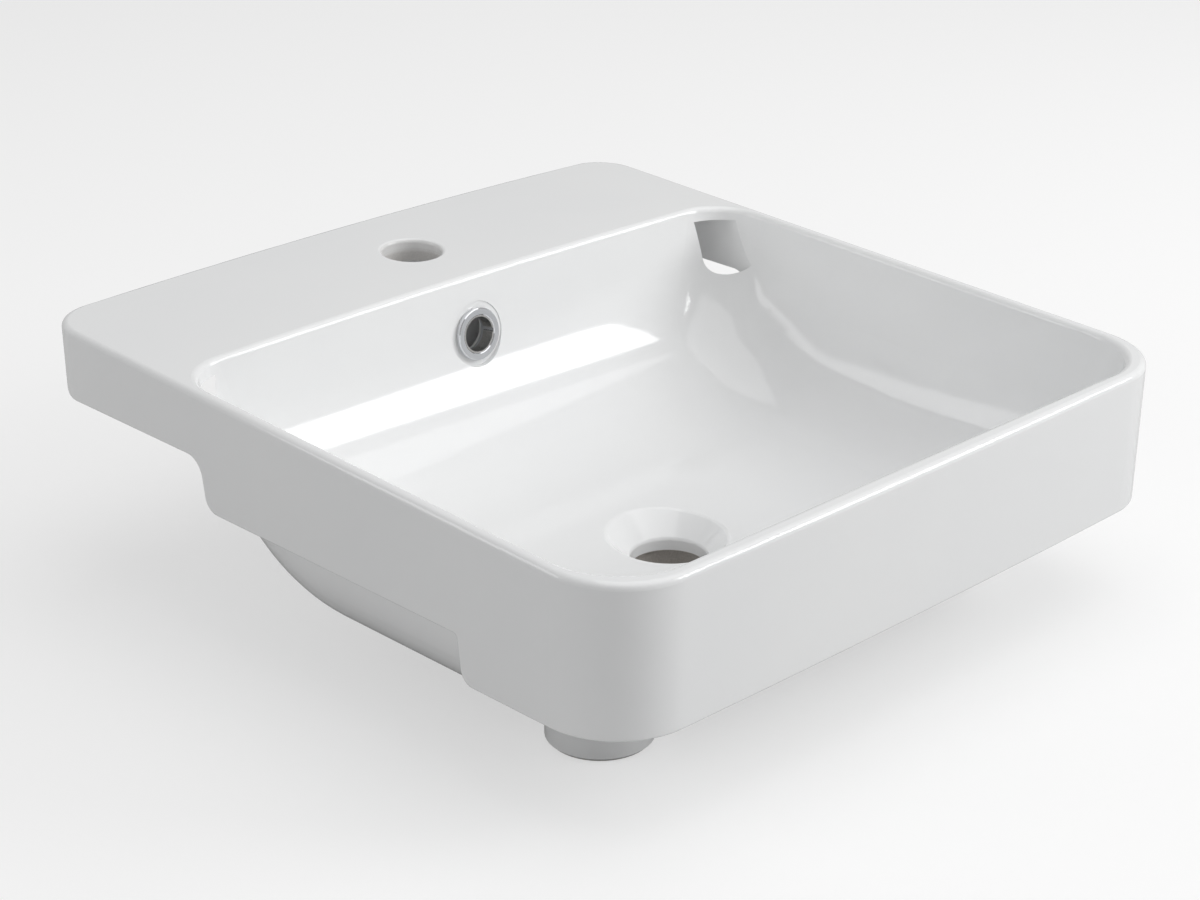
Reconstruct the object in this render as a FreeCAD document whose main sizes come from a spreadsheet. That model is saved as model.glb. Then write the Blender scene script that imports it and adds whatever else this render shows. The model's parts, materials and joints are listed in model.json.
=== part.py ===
"""Semi recessed basin in vitreous china, with its chromed overflow ring. Millimetres.

The origin is at the middle of the footprint, on the surface that the basin stands on.
+X is the right-hand side seen from the front, +Y points at the wall and +Z points up.
"""
import FreeCAD, Part
import math
import os
import re
import Sketcher
from FreeCAD import Placement, Rotation, Vector

document = FreeCAD.newDocument("semi_recessed_basin")

# Driving dimensions: name, value, what it measures.
SIZES = (
    ("overall_width", 450, "rim, left to right"),
    ("overall_depth", 468, "front bow to wall face"),
    ("rim_height", 145, "front rim above the standing surface"),
    ("deck_rise", 17, "top at the wall above the front rim, at its sides"),
    ("deck_dome", 4, "crown of the top at the wall above its side edges"),
    ("front_dome", 0.5, "front rim crown above its corners"),
    ("front_bow", 3, "forward bulge of the front face"),
    ("side_draft", 0.012, "inward lean of the side faces, per mm of drop"),
    ("front_draft", 0.015, "inward lean of the front face, per mm of drop"),
    ("front_corner_radius", 46, "outer front corners"),
    ("back_corner_radius", 27, "outer back corners"),
    ("ledge_drop", 27.8, "front rim to underside of the tap ledge"),
    ("ledge_heel_radius", 13, "lower back edge of the tap ledge"),
    ("bench_drop", 57.7, "front rim to the seat that sits on the bench"),
    ("bench_from_wall", 143.3, "wall face to the rear end of the bench seat skirt"),
    ("bench_lean", 4, "forward lean of that rear end over its height"),
    ("bench_throat_radius", 12, "inner corner between ledge and rear end"),
    ("bench_toe_radius", 10, "outer corner between rear end and seat"),
    ("apron_drop", 84.2, "front rim to the bottom of the front apron"),
    ("apron_length", 113, "front corner line to the rear end of the apron"),
    ("apron_lean", 3, "forward lean of that rear end over its height"),
    ("apron_throat_radius", 2.5, "inner corner between seat and apron end"),
    ("apron_toe_radius", 9, "outer corner between apron end and apron bottom"),
    ("skirt_thickness", 11.5, "walls of ledge and skirt"),
    ("apron_room_drop", 67, "front rim to the top of the room behind the apron"),
    ("deck_thickness", 16, "tap ledge at its crown"),
    ("rim_radius", 3.6, "rounding of the rim, both edges"),
    ("lower_edge_radius", 1.6, "rounding of the outer lower edges"),
    ("rim_wall", 8.4, "rim width, sides and front"),
    ("lip_from_wall", 115, "wall face to the deck edge of the bowl"),
    ("bowl_side_draft", 0.065, "inward lean of the inner side walls, per mm"),
    ("bowl_front_draft", 0.07, "inward lean of the inner front wall, per mm"),
    ("back_wall_lean", 6, "inner back wall from upright, degrees"),
    ("floor_drop", 102.1, "front rim to the floor at the waste"),
    ("floor_front_rise", 3, "floor at the front above the floor at the waste"),
    ("floor_back_rise", 8, "floor at the back above the floor at the waste"),
    ("floor_front_radius", 66, "inner front wall to floor"),
    ("floor_middle_radius", 700, "easing of the floor across the waste line"),
    ("sweep_ramp_length", 70, "middle straight of the back sweep, along the floor"),
    ("sweep_ramp_height", 38, "middle straight of the back sweep, up the wall"),
    ("sweep_upper_radius", 72, "back wall into the sweep"),
    ("sweep_lower_radius", 130, "sweep into the floor"),
    ("bowl_front_corner_radius", 41, "inner corners at the front"),
    ("bowl_floor_radius", 60, "inner side walls to floor"),
    ("bowl_back_corner_radius", 30, "inner corners at the back"),
    ("bowl_corner_growth", 6, "what those corners gain down to the sweep"),
    ("underside_drop", 114.5, "front rim to the underside of the bowl"),
    ("shell_front_wall", 10, "front corner line to the bowl shell"),
    ("shell_side_gap", 6, "side of the basin to the outside of the bowl shell"),
    ("shell_back_gap", 107.5, "wall face to the back of the bowl shell"),
    ("shell_front_radius", 70, "bowl shell, front wall to underside"),
    ("shell_back_radius", 124, "bowl shell, back wall to underside"),
    ("shell_side_radius", 60, "bowl shell, sides to front, underside and back"),
    ("waste_from_wall", 282.3, "wall face to the waste axis"),
    ("waste_recess_radius", 33.8, "recess for the waste flange, at the floor"),
    ("waste_recess_depth", 10.8, "floor to the bottom of the recess"),
    ("waste_throat_radius", 22.3, "glazed waste hole"),
    ("waste_throat_length", 7.5, "length of the glazed waste hole"),
    ("waste_bore_radius", 24, "unglazed bore under the waste hole"),
    ("waste_edge_radius", 3.5, "rounding of the recess edge"),
    ("throat_edge_radius", 2.5, "rounding of the throat edge"),
    ("outlet_radius", 37, "boss round the waste bore"),
    ("foot_radius", 29.4, "round stand-off foot"),
    ("foot_spread", 135, "middle of the basin to a foot"),
    ("foot_from_front", 101.7, "front corner line to a foot"),
    ("foot_edge_bevel", 2, "bevel round feet and outlet boss"),
    ("tap_from_wall", 61, "wall face to the tap hole"),
    ("tap_hole_radius", 18.5, "tap hole"),
    ("tap_edge_radius", 2.2, "rounding of the tap hole"),
    ("overflow_drop", 20.5, "front rim to the middle of the overflow"),
    ("overflow_hole_radius", 13.2, "hole through the back wall"),
    ("overflow_seat_radius", 20, "shallow seat round that hole"),
    ("overflow_seat_depth", 0.5, "depth of that seat"),
    ("duct_half_width", 22, "overflow passage behind the bowl"),
    ("duct_slot_half_width", 12, "overflow passage under the bowl"),
    ("duct_depth", 11, "overflow passage, front to back"),
    ("duct_wall", 8, "walls of the overflow passage"),
    ("duct_bend_radius", 18, "overflow passage, outside of its bend"),
    ("duct_head", 15, "overflow middle to the top of the passage"),
    ("duct_floor", 5, "standing surface to the floor of the passage"),
    ("duct_height", 8, "height of the passage under the bowl"),
    ("ring_radius", 16, "overflow ring flange"),
    ("ring_thickness", 2.6, "overflow ring flange"),
    ("ring_edge_bevel", 0.5, "bevel round the flange edge"),
    ("ring_bevel", 0.5, "bevel at the mouth of the ring"),
    ("barrel_radius", 12.6, "overflow ring barrel, outside"),
    ("barrel_wall", 0.9, "overflow ring barrel"),
    ("barrel_length", 9.5, "overflow ring barrel behind the flange"),
    ("sleeve_wall", 0.9, "sprung sleeve"),
    ("sleeve_length", 8.5, "sprung sleeve"),
    ("sleeve_setback", 0.5, "flange face to the end of the sleeve"),
    ("sleeve_slot", 2.4, "split in the sprung sleeve"),
    ("sleeve_clearance", 0.1, "sleeve to barrel, all round"),
    ("seal_radius", 15.2, "seal behind the flange"),
    ("seal_bore_radius", 12.9, "seal, inside"),
    ("seal_thickness", 0.8, "seal behind the flange"),
    ("overshoot", 30, "how far cutting shapes run past what they cut"),
)

sizes = document.addObject("Spreadsheet::Sheet", "sizes")
for row, (alias, number, meaning) in enumerate(SIZES, start=1):
    sizes.set(f"A{row}", alias)
    sizes.set(f"B{row}", str(number))
    sizes.setAlias(f"B{row}", alias)
    sizes.set(f"C{row}", meaning)
document.recompute()

ALIASES = re.compile(r"\b(" + "|".join(name for name, *_ in SIZES) + r")\b")


def bound(formula):
    """The formula with each size name pointing at its cell."""
    return ALIASES.sub(r"sizes.\1", formula)


def value(formula):
    """What the formula comes to, in millimetres."""
    return float(sizes.evalExpression(bound(formula)))


# Places worked out from the sizes, as formulas.
WALL = "overall_depth / 2"
FRONT = "(front_bow - overall_depth / 2)"
HALF = "overall_width / 2"
UNDERSIDE = "(rim_height - underside_drop)"
FLOOR = "(rim_height - floor_drop)"
DECK_CROWN = "(rim_height + deck_rise + deck_dome)"
WASTE_Y = "(overall_depth / 2 - waste_from_wall)"
LIP_Y = "(overall_depth / 2 - lip_from_wall)"
SHELL_BACK = "(overall_depth / 2 - shell_back_gap)"
SHELL_HALF = "(overall_width / 2 - shell_side_gap)"
LEAN = "tan(back_wall_lean * 1 deg)"
OVERFLOW_Z = "(rim_height - overflow_drop)"
OVERFLOW_Y = f"({LIP_Y} - ({DECK_CROWN} - {OVERFLOW_Z}) * {LEAN})"
RECESS_Z = f"({FLOOR} - waste_recess_depth)"
BORE_Z = f"({RECESS_Z} - waste_throat_length)"

# How near an edge has to lie to count as being at a place, how far a hole's edge may lie from it, and how
# many points along the edge are tried.
SLACK = 0.1
EDGE_REACH = 6
EDGE_SAMPLES = 9

# An edge counts as upright when it rises this many times as far as it runs.
UPRIGHT_RISE = 3

# Planes for sketches: level, from the side and from the front.
LEVEL = Rotation()
SIDE = Rotation(Vector(1, 1, 1), 120)
FACING = Rotation(Vector(1, 0, 0), 90)


def new_sketch(name, plane, **offset):
    """An empty sketch on a plane moved by formulas named x, y or z."""
    sketch = document.addObject("Sketcher::SketchObject", name)
    sketch.Placement = Placement(Vector(), plane)
    for axis, formula in offset.items():
        sketch.setExpression(f"Placement.Base.{axis}", bound(formula))
    return sketch


def pin(sketch, index, point, across, along):
    """Ties one point of the sketch to two formulas, measured from its origin."""
    for kind, formula in (("DistanceX", across), ("DistanceY", along)):
        number = sketch.addConstraint(Sketcher.Constraint(kind, -1, 1, index, point, value(formula)))
        sketch.setExpression(f"Constraints[{number}]", bound(formula))


def draw_outline(sketch, corners):
    """A closed outline of straight lines. A corner is (across, along) or (across, along, radius)."""
    points = [Vector(value(corner[0]), value(corner[1]), 0) for corner in corners]
    count = len(points)
    starts, ends, arcs = list(points), list(points), {}
    for i, corner in enumerate(corners):
        if len(corner) < 3:
            continue
        before = (points[i - 1] - points[i]).normalize()
        after = (points[(i + 1) % count] - points[i]).normalize()
        half_angle = before.getAngle(after) / 2
        radius = value(corner[2])
        reach = radius / math.tan(half_angle)
        ends[i] = points[i] + before * reach
        starts[i] = points[i] + after * reach
        middle = (before + after).normalize()
        centre_distance = math.hypot(reach, radius)
        arcs[i] = points[i] + middle * (centre_distance - radius)
    for i in range(count):
        sketch.addGeometry(Part.LineSegment(starts[i], ends[(i + 1) % count]), False)
    for i, corner in enumerate(corners):
        line_in, line_out = (i - 1) % count, i
        if i not in arcs:
            sketch.addConstraint(Sketcher.Constraint("Coincident", line_in, 2, line_out, 1))
            pin(sketch, line_out, 1, corner[0], corner[1])
            continue
        turns_left = (points[i] - points[i - 1]).cross(points[(i + 1) % count] - points[i]).z > 0
        if turns_left:
            arc = sketch.addGeometry(Part.Arc(ends[i], arcs[i], starts[i]), False)
            first, last = 1, 2
        else:
            arc = sketch.addGeometry(Part.Arc(starts[i], arcs[i], ends[i]), False)
            first, last = 2, 1
        sketch.addConstraint(Sketcher.Constraint("Tangent", line_in, 2, arc, first))
        sketch.addConstraint(Sketcher.Constraint("Tangent", arc, last, line_out, 1))
        number = sketch.addConstraint(Sketcher.Constraint("Radius", arc, value(corner[2])))
        sketch.setExpression(f"Constraints[{number}]", bound(corner[2]))
        apex = sketch.addGeometry(Part.Point(points[i]), True)
        pin(sketch, apex, 1, corner[0], corner[1])
        sketch.addConstraint(Sketcher.Constraint("PointOnObject", apex, 1, line_in))
        sketch.addConstraint(Sketcher.Constraint("PointOnObject", apex, 1, line_out))
    return sketch


def prism(name, plane, corners, length, both_ways=True, **offset):
    """An outline pushed along its normal by a formula, to both sides or up from it."""
    sketch = draw_outline(new_sketch(f"{name}_outline", plane, **offset), corners)
    solid = document.addObject("Part::Extrusion", name)
    solid.Base = sketch
    solid.DirMode = "Custom"
    solid.Dir = plane.multVec(Vector(0, 0, 1))
    solid.Solid = True
    solid.Symmetric = both_ways
    solid.setExpression("LengthFwd", bound(length))
    return solid


def cylinder(name, radius, height, **offset):
    """An upright cylinder standing on a point given by formulas."""
    solid = document.addObject("Part::Cylinder", name)
    solid.setExpression("Radius", bound(radius))
    solid.setExpression("Height", bound(height))
    for axis, formula in offset.items():
        solid.setExpression(f"Placement.Base.{axis}", bound(formula))
    return solid


def cone(name, bottom_radius, top_radius, height, **offset):
    """An upright frustum standing on a point given by formulas."""
    solid = document.addObject("Part::Cone", name)
    solid.setExpression("Radius1", bound(bottom_radius))
    solid.setExpression("Radius2", bound(top_radius))
    solid.setExpression("Height", bound(height))
    for axis, formula in offset.items():
        solid.setExpression(f"Placement.Base.{axis}", bound(formula))
    return solid


def combine(kind, name, first, second):
    """One solid from two: the first cut by the second, or what they have in common."""
    result = document.addObject(f"Part::{kind}", name)
    result.Base = first
    result.Tool = second
    result.Refine = True
    document.recompute()
    return result


def together(name, solids):
    """One fused solid of several objects."""
    result = document.addObject("Part::MultiFuse", name)
    result.Shapes = solids
    result.Refine = True
    document.recompute()
    return result


def where(test):
    """Picks the edges of a shape that pass a test."""
    return lambda shape: [edge for edge in shape.Edges if test(edge)]


def rounded(name, base, steps):
    """A finished base with its edges rounded. Each step is (radius formula, picker of edges)."""
    body = document.addObject("PartDesign::Body", name)
    body.BaseFeature = base
    document.recompute()
    for radius, pick in steps:
        below = body.Tip
        wanted = pick(below.Shape)
        edges = [
            f"Edge{number}" for number, edge in enumerate(below.Shape.Edges, start=1)
            if any(edge.isSame(other) for other in wanted)
        ]
        if not edges:
            raise RuntimeError(f"{name}: no edge for the {radius} fillet")
        fillet = body.newObject("PartDesign::Fillet", f"{name}_fillet")
        fillet.Base = (below, edges)
        fillet.setExpression("Radius", bound(radius))
        body.Tip = fillet
        document.recompute()
        if "Invalid" in fillet.State or "Error" in fillet.State or fillet.Shape.isNull():
            raise RuntimeError(f"{name}: the {radius} fillet failed")
    return body


def blended(name, base, wanted, radius_at):
    """The base with its wanted edges rounded, the radius at each edge end given by a function."""
    fillet = document.addObject("Part::Fillet", name)
    fillet.Base = base
    fillet.Edges = [
        (number, radius_at(edge.valueAt(edge.FirstParameter)), radius_at(edge.valueAt(edge.LastParameter)))
        for number, edge in enumerate(base.Shape.Edges, start=1) if wanted(edge)
    ]
    document.recompute()
    return fillet


def is_upright(edge):
    """True for an edge that runs mostly up and down."""
    box = edge.BoundBox
    return box.ZLength > UPRIGHT_RISE * max(box.XLength, box.YLength)


def skirt():
    """Outer form: drafted sides, bowed front, stepped side profile and rounded lower edges."""
    top = f"{DECK_CROWN} + overshoot"
    lean = "side_draft"
    sides = prism(
        "side_faces", FACING,
        [
            (f"-({HALF} - {lean} * rim_height)", "0"),
            (f"{HALF} - {lean} * rim_height", "0"),
            (f"{HALF} + {lean} * ({top} - rim_height)", top),
            (f"-({HALF} + {lean} * ({top} - rim_height))", top),
        ],
        "overall_depth + front_bow * 2",
        y="-front_bow",
    )
    bow = "((overall_width ^ 2 / 4 + front_bow ^ 2) / (2 * front_bow))"
    front = cone(
        "front_face",
        f"{bow} - front_draft * rim_height",
        f"{bow} + front_draft * ({top} - rim_height)",
        top,
        y=f"{bow} - overall_depth / 2",
    )
    plan = combine("Common", "plan_block", sides, front)
    wall_y = value(WALL) - SLACK
    wall_limit = document.addObject("Part::Box", "wall_face")
    wall_limit.setExpression("Length", bound("overall_width * 2"))
    wall_limit.setExpression("Width", bound("overall_depth * 2"))
    wall_limit.setExpression("Height", bound(f"{top} + overshoot"))
    wall_limit.setExpression("Placement.Base.x", bound("-overall_width"))
    wall_limit.setExpression("Placement.Base.y", bound(f"{WALL} - overall_depth * 2"))
    plan = combine("Common", "plan_to_wall", plan, wall_limit)
    plan = rounded(
        "plan_corners", plan,
        [
            ("front_corner_radius", where(lambda edge: is_upright(edge) and edge.CenterOfMass.y < 0)),
            ("back_corner_radius", where(lambda edge: is_upright(edge) and edge.CenterOfMass.y > wall_y)),
        ],
    )
    ledge = "rim_height - ledge_drop"
    bench = "rim_height - bench_drop"
    apron = "rim_height - apron_drop"
    profile = prism(
        "side_profile", SIDE,
        [
            (f"{FRONT} - overshoot", top),
            (f"{FRONT} - overshoot", apron),
            (f"{FRONT} + apron_length - apron_lean", apron, "apron_toe_radius"),
            (f"{FRONT} + apron_length", bench, "apron_throat_radius"),
            (f"{WALL} - bench_from_wall - bench_lean", bench, "bench_toe_radius"),
            (f"{WALL} - bench_from_wall", ledge, "bench_throat_radius"),
            (WALL, ledge),
            (WALL, top),
        ],
        "overall_width + overshoot * 2",
    )
    stepped = combine("Common", "stepped_block", plan, profile)
    ledge_z = value(ledge) + SLACK
    front_y = value(FRONT)
    heel_y = value(WALL) - SLACK

    def lower_outer(edge):
        box = edge.BoundBox
        across = box.XLength > value(HALF) and front_y < box.YMin < heel_y
        return box.ZMax < ledge_z and not across

    return blended(
        "skirt_block", stepped, lower_outer,
        lambda point: value("ledge_heel_radius" if point.y > heel_y else "lower_edge_radius"),
    )


def ledge_hollow():
    """Room under the tap ledge, behind the bowl."""
    half = f"({HALF} - skirt_thickness)"
    near = f"{SHELL_BACK} - shell_side_radius - overshoot / 2"
    far = f"{WALL} - skirt_thickness"
    radius = "back_corner_radius - skirt_thickness"
    return prism(
        "ledge_hollow", LEVEL,
        [(f"-{half}", near), (half, near), (half, far, radius), (f"-{half}", far, radius)],
        f"{DECK_CROWN} - deck_thickness + overshoot",
        both_ways=False,
        z="-overshoot",
    )


def apron_hollow():
    """Room behind the front apron, under the bowl."""
    half = f"({HALF} - skirt_thickness)"
    near = f"{FRONT} + skirt_thickness"
    far = f"{FRONT} + apron_length + overshoot"
    radius = "front_corner_radius - skirt_thickness"
    return prism(
        "apron_hollow", LEVEL,
        [(f"-{half}", near, radius), (half, near, radius), (half, far), (f"-{half}", far)],
        "rim_height - apron_room_drop + overshoot",
        both_ways=False,
        z="-overshoot",
    )


def bowl_shell():
    """Outside of the bowl: a deep tray with large rounded lower edges."""
    near = f"{FRONT} + shell_front_wall"
    top = "rim_height + deck_rise"
    tray = prism(
        "shell_tray", SIDE,
        [
            (near, top),
            (near, UNDERSIDE, "shell_front_radius"),
            (SHELL_BACK, UNDERSIDE, "shell_back_radius"),
            (SHELL_BACK, top),
        ],
        f"{SHELL_HALF} * 2",
    )
    document.recompute()
    side_x = value(SHELL_HALF) - SLACK
    top_z = value(top) - SLACK
    return rounded(
        "bowl_shell", tray,
        [("shell_side_radius", where(
            lambda edge: abs(edge.CenterOfMass.x) > side_x and edge.BoundBox.ZMin < top_z))],
    )


def duct_housing():
    """Outside of the overflow duct: down the back of the bowl and forward to the outlet boss."""
    back = f"({SHELL_BACK} + duct_depth + duct_wall)"
    inner = f"{SHELL_BACK} - shell_back_radius"
    top = f"{DECK_CROWN} - deck_thickness / 2"
    bend = "duct_bend_radius + duct_wall"
    upright = prism(
        "duct_upright_housing", SIDE,
        [(inner, top), (inner, "0"), (back, "0", bend), (back, top)],
        "(duct_half_width + duct_wall) * 2",
    )
    level = prism(
        "duct_level_housing", SIDE,
        [(WASTE_Y, f"{UNDERSIDE} + duct_height"), (WASTE_Y, "0"), (inner, "0"),
         (inner, f"{UNDERSIDE} + duct_height")],
        "(duct_slot_half_width + duct_wall) * 2",
    )
    return together("duct_housing", [upright, level])


def duct_passage():
    """Inside of the overflow duct, from the overflow hole to the waste bore."""
    back = f"({SHELL_BACK} + duct_depth)"
    head = f"{OVERFLOW_Z} + duct_head"
    ceiling = "(duct_floor + duct_height)"
    upright = prism(
        "duct_upright_passage", SIDE,
        [(SHELL_BACK, head), (SHELL_BACK, "duct_floor"), (back, "duct_floor", "duct_bend_radius / 2"),
         (back, head)],
        "duct_half_width * 2",
    )
    level = prism(
        "duct_level_passage", SIDE,
        [(WASTE_Y, ceiling), (WASTE_Y, "duct_floor"), (f"{SHELL_BACK} + duct_depth / 2", "duct_floor"),
         (f"{SHELL_BACK} + duct_depth / 2", ceiling)],
        "duct_slot_half_width * 2",
    )
    return together("duct_passage", [upright, level])


def standing_post(name, radius, height, **place):
    """A round post on the standing surface, its lower edge bevelled."""
    bevel = cone(f"{name}_bevel", f"{radius} - foot_edge_bevel", radius, "foot_edge_bevel", **place)
    shaft = cylinder(f"{name}_shaft", radius, f"{height} - foot_edge_bevel", z="foot_edge_bevel", **place)
    return together(name, [bevel, shaft])


def ground_parts():
    """Outlet boss and the two feet, all down to the standing surface."""
    foot_y = f"{FRONT} + foot_from_front"
    foot_height = f"{UNDERSIDE} + duct_height"
    return [
        standing_post("outlet_boss", "outlet_radius", f"{FLOOR} - waste_recess_depth / 2", y=WASTE_Y),
        standing_post("left_foot", "foot_radius", foot_height, x="-foot_spread", y=foot_y),
        standing_post("right_foot", "foot_radius", foot_height, x="foot_spread", y=foot_y),
    ]


def top_form():
    """Everything under the finished top, which climbs and grows a crown from the front rim to the wall."""
    slope = f"deck_rise / ({WALL} - {FRONT})"
    growth = f"(deck_dome - front_dome) / ({WALL} - {FRONT})"
    beyond = "(overshoot / 2)"
    stations = (
        (f"{FRONT} - {beyond}", f"(-{slope} * {beyond})", f"(front_dome - {growth} * {beyond})"),
        (f"{WALL} + {beyond}", f"(deck_rise + {slope} * {beyond})", f"(deck_dome + {growth} * {beyond})"),
    )
    edge = f"({HALF} + overshoot)"
    sections = []
    for number, (place, rise, dome) in enumerate(stations, start=1):
        sketch = new_sketch(f"top_section_{number}", FACING, y=place)
        crown = f"rim_height + {rise} + {dome}"
        corner = f"{crown} - {dome} * ({edge} / ({HALF})) ^ 2"
        low_right = Vector(value(edge), value("-overshoot"), 0)
        high_right = Vector(value(edge), value(corner), 0)
        low_left = Vector(-low_right.x, low_right.y, 0)
        high_left = Vector(-high_right.x, high_right.y, 0)
        summit = Vector(0, value(crown), 0)
        sketch.addGeometry(Part.LineSegment(low_left, low_right), False)
        sketch.addGeometry(Part.LineSegment(low_right, high_right), False)
        sketch.addGeometry(Part.Arc(high_right, summit, high_left), False)
        sketch.addGeometry(Part.LineSegment(high_left, low_left), False)
        for i in range(4):
            sketch.addConstraint(Sketcher.Constraint("Coincident", i, 2, (i + 1) % 4, 1))
        pin(sketch, 0, 1, f"-{edge}", "-overshoot")
        pin(sketch, 1, 1, edge, "-overshoot")
        pin(sketch, 2, 1, edge, corner)
        pin(sketch, 3, 1, f"-{edge}", corner)
        top_point = sketch.addGeometry(Part.Point(summit), True)
        pin(sketch, top_point, 1, "0", crown)
        sketch.addConstraint(Sketcher.Constraint("PointOnObject", top_point, 1, 2))
        sections.append(sketch)
    loft = document.addObject("Part::Loft", "top_form")
    loft.Sections = sections
    loft.Solid = True
    loft.Ruled = True
    document.recompute()
    return loft


def bowl_cavity():
    """Inside of the bowl: drafted walls, sloping floor and a long sweep up to the back wall."""
    top = f"({DECK_CROWN} + overshoot)"
    near = f"({FRONT} + rim_wall)"
    front_floor = f"({FLOOR} + floor_front_rise)"
    back_floor = f"({FLOOR} + floor_back_rise)"
    ramp_top = f"({back_floor} + sweep_ramp_height)"
    profile = prism(
        "cavity_profile", SIDE,
        [
            (f"{near} - bowl_front_draft * ({top} - rim_height)", top),
            (f"{near} + bowl_front_draft * (rim_height - {front_floor})", front_floor, "floor_front_radius"),
            (WASTE_Y, FLOOR, "floor_middle_radius"),
            (
                f"{LIP_Y} - ({DECK_CROWN} - {ramp_top}) * {LEAN} - sweep_ramp_length",
                back_floor, "sweep_lower_radius",
            ),
            (f"{LIP_Y} - ({DECK_CROWN} - {ramp_top}) * {LEAN}", ramp_top, "sweep_upper_radius"),
            (f"{LIP_Y} + overshoot * {LEAN}", top),
        ],
        "overall_width",
    )
    inner = f"({HALF} - rim_wall)"
    span = prism(
        "cavity_span", FACING,
        [
            (f"-({inner} - bowl_side_draft * rim_height)", "0"),
            (f"{inner} - bowl_side_draft * rim_height", "0"),
            (f"{inner} + bowl_side_draft * ({top} - rim_height)", top),
            (f"-({inner} + bowl_side_draft * ({top} - rim_height))", top),
        ],
        "overall_depth * 2",
    )
    cavity = combine("Common", "cavity_block", profile, span)
    side_x = value(f"{inner} - bowl_side_draft * rim_height")
    top_z = value(top) - SLACK
    upright_z = value(f"{FLOOR} + floor_front_radius / 2")

    def radius_at(point):
        if point.z < upright_z:
            return value("bowl_floor_radius")
        corner = value("bowl_front_corner_radius" if point.y < 0 else "bowl_back_corner_radius")
        return corner if point.z > top_z else corner + value("bowl_corner_growth")

    return blended(
        "bowl_cavity", cavity,
        lambda edge: abs(edge.CenterOfMass.x) > side_x and edge.BoundBox.ZMin < top_z,
        radius_at,
    )


def waste_bores():
    """Recess, throat and lower bore of the waste outlet."""
    slope = "(waste_recess_radius - waste_throat_radius) / waste_recess_depth"
    dish = cone(
        "waste_dish", "waste_throat_radius", f"waste_recess_radius + {slope} * overshoot",
        "waste_recess_depth + overshoot", y=WASTE_Y, z=RECESS_Z,
    )
    throat = cylinder(
        "waste_throat", "waste_throat_radius", "waste_throat_length * 2",
        y=WASTE_Y, z=f"{BORE_Z} - waste_throat_length / 2",
    )
    bore = cylinder(
        "waste_bore", "waste_bore_radius", f"{BORE_Z} + overshoot", y=WASTE_Y, z="-overshoot",
    )
    return [dish, throat, bore]


def tap_bore():
    """Tap hole through the deck."""
    return cylinder(
        "tap_bore", "tap_hole_radius", "deck_thickness + overshoot * 2",
        y=f"{WALL} - tap_from_wall", z=f"{DECK_CROWN} - deck_thickness - overshoot",
    )


def facing_bowl(solid, out):
    """Turns an upright solid to stand on the back wall at the overflow, moved out along the wall's normal."""
    solid.Placement = Placement(Vector(), FACING)
    solid.setExpression("Placement.Rotation.Angle", bound("90 - back_wall_lean"))
    solid.setExpression("Placement.Base.y", bound(f"{OVERFLOW_Y} - ({out}) * cos(back_wall_lean * 1 deg)"))
    solid.setExpression("Placement.Base.z", bound(f"{OVERFLOW_Z} + ({out}) * sin(back_wall_lean * 1 deg)"))
    return solid


def overflow_bores():
    """Hole through the back wall and the shallow seat round it."""
    hole = cylinder("overflow_hole", "overflow_hole_radius", "overshoot + duct_depth / 2")
    facing_bowl(hole, "-(overshoot - duct_depth / 2)")
    seat = cylinder("overflow_seat", "overflow_seat_radius", "overshoot")
    facing_bowl(seat, "-overflow_seat_depth")
    return [hole, seat]


def rim_edges(shape, outer):
    """Edges of the finished top: its outside loop, or the loop round the bowl."""
    top = max((face for face in shape.Faces if face.CenterOfMass.z > value("rim_height")),
              key=lambda face: face.Area)
    return [
        edge for wire in top.Wires if wire.isSame(top.OuterWire) == outer
        for edge in wire.Edges
    ]


def hole_edges(shape, axis_y, radius, height):
    """Edges of a round hole on an upright axis, near a radius and a height given by formulas."""
    found = []
    for edge in shape.Edges:
        if edge.Degenerated:
            continue
        points = edge.discretize(EDGE_SAMPLES)
        near = all(
            abs(math.hypot(point.x, point.y - value(axis_y)) - value(radius)) < EDGE_REACH
            and abs(point.z - value(height)) < EDGE_REACH
            for point in points
        )
        if near:
            found.append(edge)
    return found


def basin_body():
    """The one-piece china basin."""
    hollows = together("skirt_hollows", [ledge_hollow(), apron_hollow()])
    shell = combine("Cut", "hollow_skirt", skirt(), hollows)
    shell = together("raw_basin", [shell, bowl_shell(), duct_housing(), *ground_parts()])
    shell = combine("Common", "topped_basin", shell, top_form())
    shell = combine("Cut", "open_bowl", shell, bowl_cavity())
    shell = rounded(
        "rimmed_basin", shell,
        [
            ("rim_radius", lambda shape: rim_edges(shape, outer=True)),
            ("rim_radius", lambda shape: rim_edges(shape, outer=False)),
        ],
    )
    cuts = together("waste_and_tap_bores", [*waste_bores(), tap_bore()])
    shell = combine("Cut", "bored_basin", shell, cuts)
    tap_y = f"{WALL} - tap_from_wall"
    shell = rounded(
        "eased_basin", shell,
        [
            ("tap_edge_radius", lambda shape: hole_edges(shape, tap_y, "tap_hole_radius", DECK_CROWN)),
            ("waste_edge_radius", lambda shape: hole_edges(shape, WASTE_Y, "waste_recess_radius", FLOOR)),
            ("throat_edge_radius", lambda shape: hole_edges(shape, WASTE_Y, "waste_throat_radius", RECESS_Z)),
        ],
    )
    shell = combine("Cut", "ducted_basin", shell, duct_passage())
    return combine("Cut", "drilled_basin", shell, together("overflow_bores", overflow_bores()))


def origin_plane(body, role):
    """One of a body's own origin planes."""
    return next(feature for feature in body.Origin.OriginFeatures if feature.Role == role)


def new_turning(name):
    """An empty body whose local Z axis leaves the back wall at the overflow."""
    body = document.addObject("PartDesign::Body", name)
    document.recompute()
    return body


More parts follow.
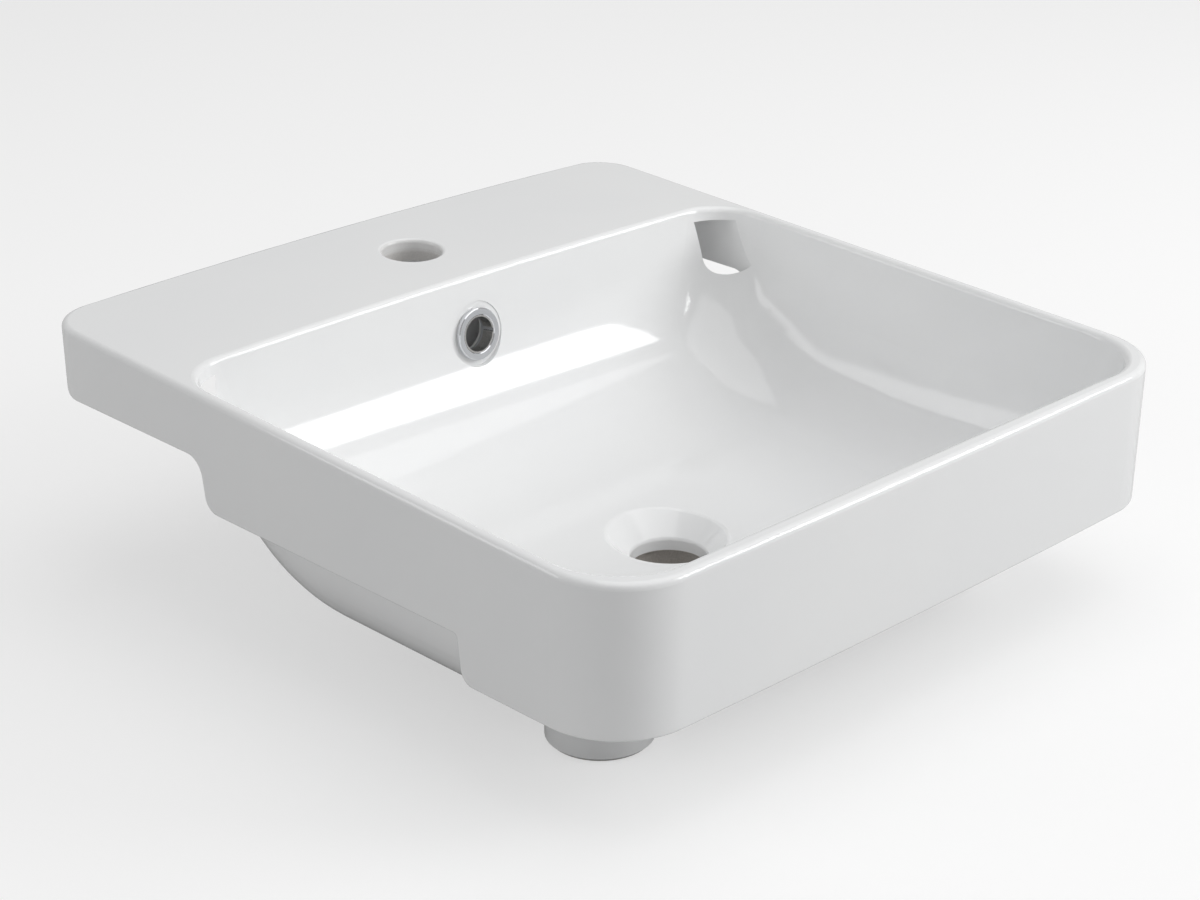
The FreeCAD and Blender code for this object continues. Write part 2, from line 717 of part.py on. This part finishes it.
def body_sketch(body, role, name, corners):
    """An outline on one of the body's origin planes."""
    sketch = body.newObject("Sketcher::SketchObject", name)
    sketch.AttachmentSupport = [(origin_plane(body, role), "")]
    sketch.MapMode = "FlatFace"
    return draw_outline(sketch, corners)


def turned(body, name, corners):
    """A full turn of a (radius, height) outline about the body's Z axis."""
    sketch = body_sketch(body, "XZ_Plane", f"{name}_section", corners)
    turn = body.newObject("PartDesign::Revolution", f"{name}_turn")
    turn.Profile = sketch
    turn.ReferenceAxis = (sketch, ["V_Axis"])
    turn.Angle = 360
    document.recompute()
    return turn


def overflow_seal():
    """Thin soft washer between the flange and its seat."""
    body = new_turning("overflow_seal")
    bottom = "-overflow_seat_depth"
    top = f"{bottom} + seal_thickness"
    turned(
        body, "seal",
        [
            ("seal_bore_radius", bottom),
            ("seal_radius", bottom),
            ("seal_radius", top),
            ("seal_bore_radius", top),
        ],
    )
    return facing_bowl(body, "0")


def overflow_ring():
    """Flat turned flange with the barrel behind it."""
    body = new_turning("overflow_ring")
    back = "(seal_thickness - overflow_seat_depth)"
    face = f"({back} + ring_thickness)"
    inside = "(barrel_radius - barrel_wall)"
    turned(
        body, "ring",
        [
            (inside, f"{back} - barrel_length"),
            ("barrel_radius", f"{back} - barrel_length"),
            ("barrel_radius", back),
            ("ring_radius", back),
            ("ring_radius", f"{face} - ring_edge_bevel"),
            ("ring_radius - ring_edge_bevel", face),
            (f"{inside} + ring_bevel", face),
            (inside, f"{face} - ring_bevel"),
        ],
    )
    return facing_bowl(body, "0")


def overflow_sleeve():
    """Sprung sleeve inside the barrel, split along one side."""
    body = new_turning("overflow_spring_sleeve")
    face = "(seal_thickness - overflow_seat_depth + ring_thickness - sleeve_setback)"
    outside = "(barrel_radius - barrel_wall - sleeve_clearance)"
    inside = f"({outside} - sleeve_wall)"
    turned(
        body, "sleeve",
        [
            (inside, f"{face} - sleeve_length"),
            (outside, f"{face} - sleeve_length"),
            (outside, face),
            (inside, face),
        ],
    )
    whole = body.Tip.Shape.Volume
    slot = body_sketch(
        body, "XZ_Plane", "sleeve_slot_outline",
        [
            ("0", f"{face} - sleeve_length - sleeve_slot"),
            (f"{outside} + sleeve_wall", f"{face} - sleeve_length - sleeve_slot"),
            (f"{outside} + sleeve_wall", f"{face} + sleeve_slot"),
            ("0", f"{face} + sleeve_slot"),
        ],
    )
    split = body.newObject("PartDesign::Pocket", "sleeve_split")
    split.Profile = slot
    split.Midplane = True
    split.setExpression("Length", bound("sleeve_slot"))
    body.Tip = split
    document.recompute()
    if split.Shape.Volume >= whole:
        raise RuntimeError("the sleeve's slot cut nothing")
    return facing_bowl(body, "0")


nodes = {
    "basin_body": basin_body(),
    "overflow_seal": overflow_seal(),
    "overflow_ring": overflow_ring(),
    "overflow_spring_sleeve": overflow_sleeve(),
}
for label, node in nodes.items():
    node.Label = label
document.recompute()

for item in document.Objects:
    if "Invalid" in item.State or "Error" in item.State:
        raise RuntimeError(f"{item.Name} did not build")
for label, node in nodes.items():
    if node.Shape.isNull() or not node.Shape.isValid():
        raise RuntimeError(f"{label} is not a valid solid")

os.makedirs("parts", exist_ok=True)
for label, node in nodes.items():
    print(label, len(node.Shape.Solids), "solid(s)", round(node.Shape.Volume / 1000, 2), "cm3")
    node.Shape.exportStep(f"parts/{label}.step")
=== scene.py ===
"""Looks of the semi recessed basin: glazed china and a chromed overflow ring on a pale studio floor.

Metres. The origin is at the middle of the footprint, +X is right, +Y points at the wall and +Z up.
"""

import json
import math

import bpy
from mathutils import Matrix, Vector

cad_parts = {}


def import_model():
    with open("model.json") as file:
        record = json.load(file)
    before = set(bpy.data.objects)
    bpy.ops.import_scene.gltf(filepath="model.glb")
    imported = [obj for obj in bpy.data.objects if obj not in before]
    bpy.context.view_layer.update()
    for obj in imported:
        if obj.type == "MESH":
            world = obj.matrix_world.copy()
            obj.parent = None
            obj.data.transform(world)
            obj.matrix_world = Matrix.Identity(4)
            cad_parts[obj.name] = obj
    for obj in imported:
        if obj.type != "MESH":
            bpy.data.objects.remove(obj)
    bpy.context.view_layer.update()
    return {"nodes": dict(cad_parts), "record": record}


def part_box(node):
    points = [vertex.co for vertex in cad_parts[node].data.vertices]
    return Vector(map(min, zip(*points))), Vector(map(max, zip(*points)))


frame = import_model()

MM_PER_M = 1000

# Places worked out from the mounts and boxes of the frame.
MOUNTS = {mount["name"]: mount for mount in frame["record"]["mounts"]}
TAP = Vector(MOUNTS["tap_hole"]["pos_m"])
TAP_RADIUS = MOUNTS["tap_hole"]["dims"]["r_mm"] / MM_PER_M
WASTE = Vector(MOUNTS["waste_hole"]["pos_m"])
BORE_RADIUS = MOUNTS["outlet_bore"]["dims"]["r_mm"] / MM_PER_M
BORE_TOP = WASTE.z - MOUNTS["waste_hole"]["dims"]["length_mm"] / (2 * MM_PER_M)
RING_LOW, RING_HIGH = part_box("overflow_ring")
RING_CENTRE = (RING_LOW + RING_HIGH) / 2
WALL_LEAN = math.radians(6)

# How far past a surface a colour mask reaches, and how softly it ends.
REACH = 0.0006
SOFT = 0.0005

# Share of the biscuit colour mixed into the glaze all down the tap hole's wall, and the part of that
# share left near the deck; the wall turns a darker beige away from the deck.
TAP_BISCUIT_SHARE = 0.6
TAP_BISCUIT_SHARE_TOP = 0.35
TAP_FADE = 5 * SOFT

# The parts of a noise's range that a finish is spread over.
WIDE = (0.3, 0.7)
NARROW = (0.35, 0.65)
UPPER = (0.4, 0.7)

# Scales of the noise in each finish, per metre, and the strength and depth in metres of its bumps.
GLAZE_TONE = 7.0
GLAZE_GLOSS = 22.0
GLAZE_RIPPLE = 38.0
RIPPLE = (0.12, 0.0004)
BISCUIT_GRAIN = 900.0
CHROME_LINES = 2600.0
CHROME_HAZE = 420.0
LINE_BUMP = (0.25, 0.00005)
STEEL_DRAW = 1800.0
STEEL_STRETCH = (1, 12, 1)
RUBBER_BLOOM = 700.0
BLOOM_BUMP = (0.2, 0.0001)

# Roughness at the two ends of each finish, and what a full share of biscuit colour adds to the glaze's.
GLAZE_ROUGH = (0.07, 0.11)
CHROME_ROUGH = (0.08, 0.16)
STEEL_ROUGH = (0.18, 0.3)
RUBBER_ROUGH = (0.5, 0.7)
BISCUIT_ROUGHNESS = 0.6
GLAZE_IOR = 1.52

GLAZE = (0.89, 0.895, 0.895, 1)
GLAZE_COOL = (0.872, 0.878, 0.882, 1)
BISCUIT = (0.47, 0.44, 0.41, 1)
BISCUIT_DARK = (0.37, 0.345, 0.32, 1)
CHROME = (0.79, 0.8, 0.82, 1)
CHROME_DIM = (0.7, 0.71, 0.735, 1)
STEEL = (0.68, 0.67, 0.65, 1)
STEEL_DIM = (0.52, 0.51, 0.5, 1)
RUBBER = (0.42, 0.42, 0.41, 1)
RUBBER_PALE = (0.5, 0.5, 0.49, 1)


# ---- node graph helpers ----


class Graph:
    """Short words for building a node graph."""

    def __init__(self, tree):
        tree.nodes.clear()
        self.tree = tree

    def node(self, kind, inputs=None, **settings):
        """A node with its settings and inputs, where an input is a value or another node's socket."""
        made = self.tree.nodes.new(kind)
        for key, setting in settings.items():
            setattr(made, key, setting)
        for key, given in (inputs or {}).items():
            self.feed(made.inputs[key], given)
        return made

    def feed(self, socket, given):
        if isinstance(given, bpy.types.NodeSocket):
            self.tree.links.new(given, socket)
        else:
            socket.default_value = given

    def math(self, operation, first, second=0.0):
        return self.node("ShaderNodeMath", {0: first, 1: second}, operation=operation).outputs[0]

    def noise(self, vector, scale, detail=2.0):
        settings = {"Vector": vector, "Scale": scale, "Detail": detail}
        return self.node("ShaderNodeTexNoise", settings).outputs["Fac"]

    def span(self, value, start, end, low=0.0, high=1.0):
        """low up to start, high from end and straight between them."""
        limits = {"Value": value, "From Min": start, "From Max": end, "To Min": low, "To Max": high}
        return self.node("ShaderNodeMapRange", limits).outputs["Result"]

    def mix(self, factor, first, second):
        made = self.node("ShaderNodeMix", data_type="RGBA")
        for number, given in ((0, factor), (6, first), (7, second)):
            self.feed(made.inputs[number], given)
        return made.outputs[2]

    def bump(self, height, strength, distance):
        settings = {"Height": height, "Strength": strength, "Distance": distance}
        return self.node("ShaderNodeBump", settings).outputs["Normal"]

    def place(self):
        """The point being shaded, in the basin's own metres."""
        return self.node("ShaderNodeTexCoord").outputs["Object"]

    def parts(self, vector):
        return self.node("ShaderNodeSeparateXYZ", {0: vector}).outputs

    def moved(self, vector, origin, turn=0.0, scale=(1, 1, 1)):
        """The vector from an origin, turned about X and scaled."""
        made = self.node("ShaderNodeMapping", {"Vector": vector}, vector_type="TEXTURE")
        made.inputs["Location"].default_value = origin
        made.inputs["Rotation"].default_value = (turn, 0, 0)
        made.inputs["Scale"].default_value = scale
        return made.outputs["Vector"]

    def axis_distance(self, vector, origin, turn=0.0):
        """Distance from an axis through an origin, upright before it is turned about X."""
        x, y, _ = self.parts(self.moved(vector, origin, turn))
        return self.math("SQRT", self.math("ADD", self.math("POWER", x, 2.0), self.math("POWER", y, 2.0)))


def new_material(name):
    material = bpy.data.materials.new(name)
    material.use_nodes = True
    return material, Graph(material.node_tree)


def finish_material(g, surface):
    g.node("ShaderNodeOutputMaterial", {"Surface": surface})


# ---- materials ----


def china():
    """White gloss glaze, with unglazed biscuit in the waste bore and on the standing faces, and a share
    of the biscuit colour mixed into the tap hole's wall, less of it near the deck.
    """
    material, g = new_material("china")
    place = g.place()
    height = g.parts(place)[2]
    in_bore = g.math(
        "MULTIPLY",
        g.span(g.axis_distance(place, WASTE), BORE_RADIUS + REACH, BORE_RADIUS + REACH + SOFT, 1.0, 0.0),
        g.span(height, BORE_TOP, BORE_TOP + SOFT, 1.0, 0.0),
    )
    # A beige share of the biscuit colour mixed into the tap hole's wall, darker away from the deck.
    in_tap_hole = g.math(
        "MULTIPLY",
        g.span(g.axis_distance(place, TAP), TAP_RADIUS + REACH, TAP_RADIUS + REACH + SOFT, TAP_BISCUIT_SHARE, 0.0),
        g.span(height, TAP.z - SOFT, TAP.z + TAP_FADE, 1.0, TAP_BISCUIT_SHARE_TOP),
    )
    standing = g.span(height, REACH, REACH + SOFT, 1.0, 0.0)
    # Share of biscuit colour: full in the waste bore and on the standing faces, partial on the tap hole's
    # wall.
    biscuit_share = g.math("MAXIMUM", g.math("MAXIMUM", in_bore, in_tap_hole), standing)

    glaze = g.mix(g.span(g.noise(place, GLAZE_TONE), *NARROW), GLAZE, GLAZE_COOL)
    grain = g.noise(place, BISCUIT_GRAIN, 4.0)
    biscuit = g.mix(g.span(grain, *WIDE), BISCUIT, BISCUIT_DARK)
    ripple = g.bump(g.noise(place, GLAZE_RIPPLE, 1.0), *RIPPLE)
    gloss = g.span(g.noise(place, GLAZE_GLOSS), *WIDE, *GLAZE_ROUGH)
    shader = g.node(
        "ShaderNodeBsdfPrincipled",
        {
            "Base Color": g.mix(biscuit_share, glaze, biscuit),
            "Roughness": g.math("ADD", gloss, g.math("MULTIPLY", biscuit_share, BISCUIT_ROUGHNESS)),
            "Normal": ripple,
        },
    )
    shader.inputs["IOR"].default_value = GLAZE_IOR
    finish_material(g, shader.outputs[0])
    return material


def chrome():
    """Polished chrome over concentric turning lines."""
    material, g = new_material("chromed_metal")
    place = g.place()
    reach = g.axis_distance(place, RING_CENTRE, math.pi / 2 - WALL_LEAN)
    lines = g.noise(g.node("ShaderNodeCombineXYZ", {"X": reach}).outputs[0], CHROME_LINES, 3.0)
    shader = g.node(
        "ShaderNodeBsdfPrincipled",
        {
            "Base Color": g.mix(g.span(lines, *NARROW), CHROME, CHROME_DIM),
            "Roughness": g.span(g.noise(place, CHROME_HAZE), *WIDE, *CHROME_ROUGH),
            "Normal": g.bump(lines, *LINE_BUMP),
        },
    )
    shader.inputs["Metallic"].default_value = 1.0
    finish_material(g, shader.outputs[0])
    return material


def spring_steel():
    """Bright drawn strip with fine lines along the draw."""
    material, g = new_material("spring_steel")
    place = g.place()
    drawn = g.noise(g.moved(place, RING_CENTRE, 0.0, STEEL_STRETCH), STEEL_DRAW, 4.0)
    shader = g.node(
        "ShaderNodeBsdfPrincipled",
        {
            "Base Color": g.mix(g.span(drawn, *WIDE), STEEL, STEEL_DIM),
            "Roughness": g.span(drawn, *WIDE, *STEEL_ROUGH),
        },
    )
    shader.inputs["Metallic"].default_value = 1.0
    finish_material(g, shader.outputs[0])
    return material


def seal_rubber():
    """Matt grey seal with a dusty bloom."""
    material, g = new_material("seal_rubber")
    bloom = g.noise(g.place(), RUBBER_BLOOM, 3.0)
    shader = g.node(
        "ShaderNodeBsdfPrincipled",
        {
            "Base Color": g.mix(g.span(bloom, *UPPER), RUBBER, RUBBER_PALE),
            "Roughness": g.span(bloom, *WIDE, *RUBBER_ROUGH),
            "Normal": g.bump(bloom, *BLOOM_BUMP),
        },
    )
    finish_material(g, shader.outputs[0])
    return material


MATERIALS = {
    "basin_body": china,
    "overflow_ring": chrome,
    "overflow_spring_sleeve": spring_steel,
    "overflow_seal": seal_rubber,
}
for name, node in frame["nodes"].items():
    node.data.materials.clear()
    node.data.materials.append(MATERIALS[name]())


# ---- camera, floor and light ----

CAMERA_PLACE = Vector((-0.979, -0.9894, 0.681))
CAMERA_AZIMUTH = math.radians(-44.4564)
CAMERA_ELEVATION = math.radians(23.2453)
CAMERA_LENS = 78.296
SENSOR = 36.0

# The camera sees the floor pale and partly white, and the basin gets less light back from it.
FLOOR_HALF = 6.0
FLOOR_PALE = (0.97, 0.97, 0.97, 1)
FLOOR_BOUNCE = (0.62, 0.62, 0.62, 1)
FLOOR_WHITE = 0.5
AMBIENT = 0.4
WHITE = (1, 1, 1, 1)
AIM = (0, 0, 0.1)


def aimed(name, data, place, direction):
    """An object at a place, its -Z axis along a direction."""
    made = bpy.data.objects.new(name, data)
    made.location = place
    made.rotation_mode = "QUATERNION"
    made.rotation_quaternion = direction.to_track_quat("-Z", "Y")
    bpy.context.scene.collection.objects.link(made)
    return made


def camera():
    data = bpy.data.cameras.new("camera")
    data.lens = CAMERA_LENS
    data.sensor_width = SENSOR
    level = math.cos(CAMERA_ELEVATION)
    back = Vector((
        math.sin(CAMERA_AZIMUTH) * level, -math.cos(CAMERA_AZIMUTH) * level, math.sin(CAMERA_ELEVATION),
    ))
    bpy.context.scene.camera = aimed("camera", data, CAMERA_PLACE, -back)


def softbox(name, place, target, size, power):
    data = bpy.data.lights.new(name, "AREA")
    data.shape = "RECTANGLE"
    data.size, data.size_y = size
    data.energy = power
    aimed(name, data, Vector(place), Vector(target) - Vector(place))


def world():
    """A white backdrop to the camera, and a softer even light to everything else."""
    made = bpy.data.worlds.new("studio")
    made.use_nodes = True
    g = Graph(made.node_tree)
    path = g.node("ShaderNodeLightPath")
    seen = g.math("MAXIMUM", path.outputs["Is Camera Ray"], path.outputs["Is Transmission Ray"])
    background = g.node("ShaderNodeBackground", {"Strength": g.math("MAXIMUM", seen, AMBIENT)})
    background.inputs["Color"].default_value = WHITE
    g.node("ShaderNodeOutputWorld", {"Surface": background.outputs[0]})
    bpy.context.scene.world = made


def floor():
    mesh = bpy.data.meshes.new("studio_floor")
    corners = [(-FLOOR_HALF, -FLOOR_HALF, 0), (FLOOR_HALF, -FLOOR_HALF, 0),
               (FLOOR_HALF, FLOOR_HALF, 0), (-FLOOR_HALF, FLOOR_HALF, 0)]
    mesh.from_pydata(corners, [], [(0, 1, 2, 3)])
    made = bpy.data.objects.new("studio_floor", mesh)
    bpy.context.scene.collection.objects.link(made)
    material, g = new_material("studio_floor")
    seen = g.node("ShaderNodeLightPath").outputs["Is Camera Ray"]
    matt = g.node("ShaderNodeBsdfDiffuse", {"Color": g.mix(seen, FLOOR_BOUNCE, FLOOR_PALE)})
    white = g.node("ShaderNodeEmission", {"Color": WHITE, "Strength": 1.0})
    share = g.math("MULTIPLY", seen, FLOOR_WHITE)
    surface = g.node("ShaderNodeMixShader", {0: share, 1: matt.outputs[0], 2: white.outputs[0]})
    finish_material(g, surface.outputs[0])
    mesh.materials.append(material)


camera()
world()
floor()
softbox("front_key", (1.6, -1.7, 1.2), AIM, (1.3, 1.0), 27)
softbox("left_fill", (-1.9, 1.2, 1.0), AIM, (1.0, 1.0), 7)
softbox("overhead", (0.4, -0.55, 2.3), AIM, (2.6, 2.2), 21)

bpy.context.scene.view_settings.view_transform = "Standard"
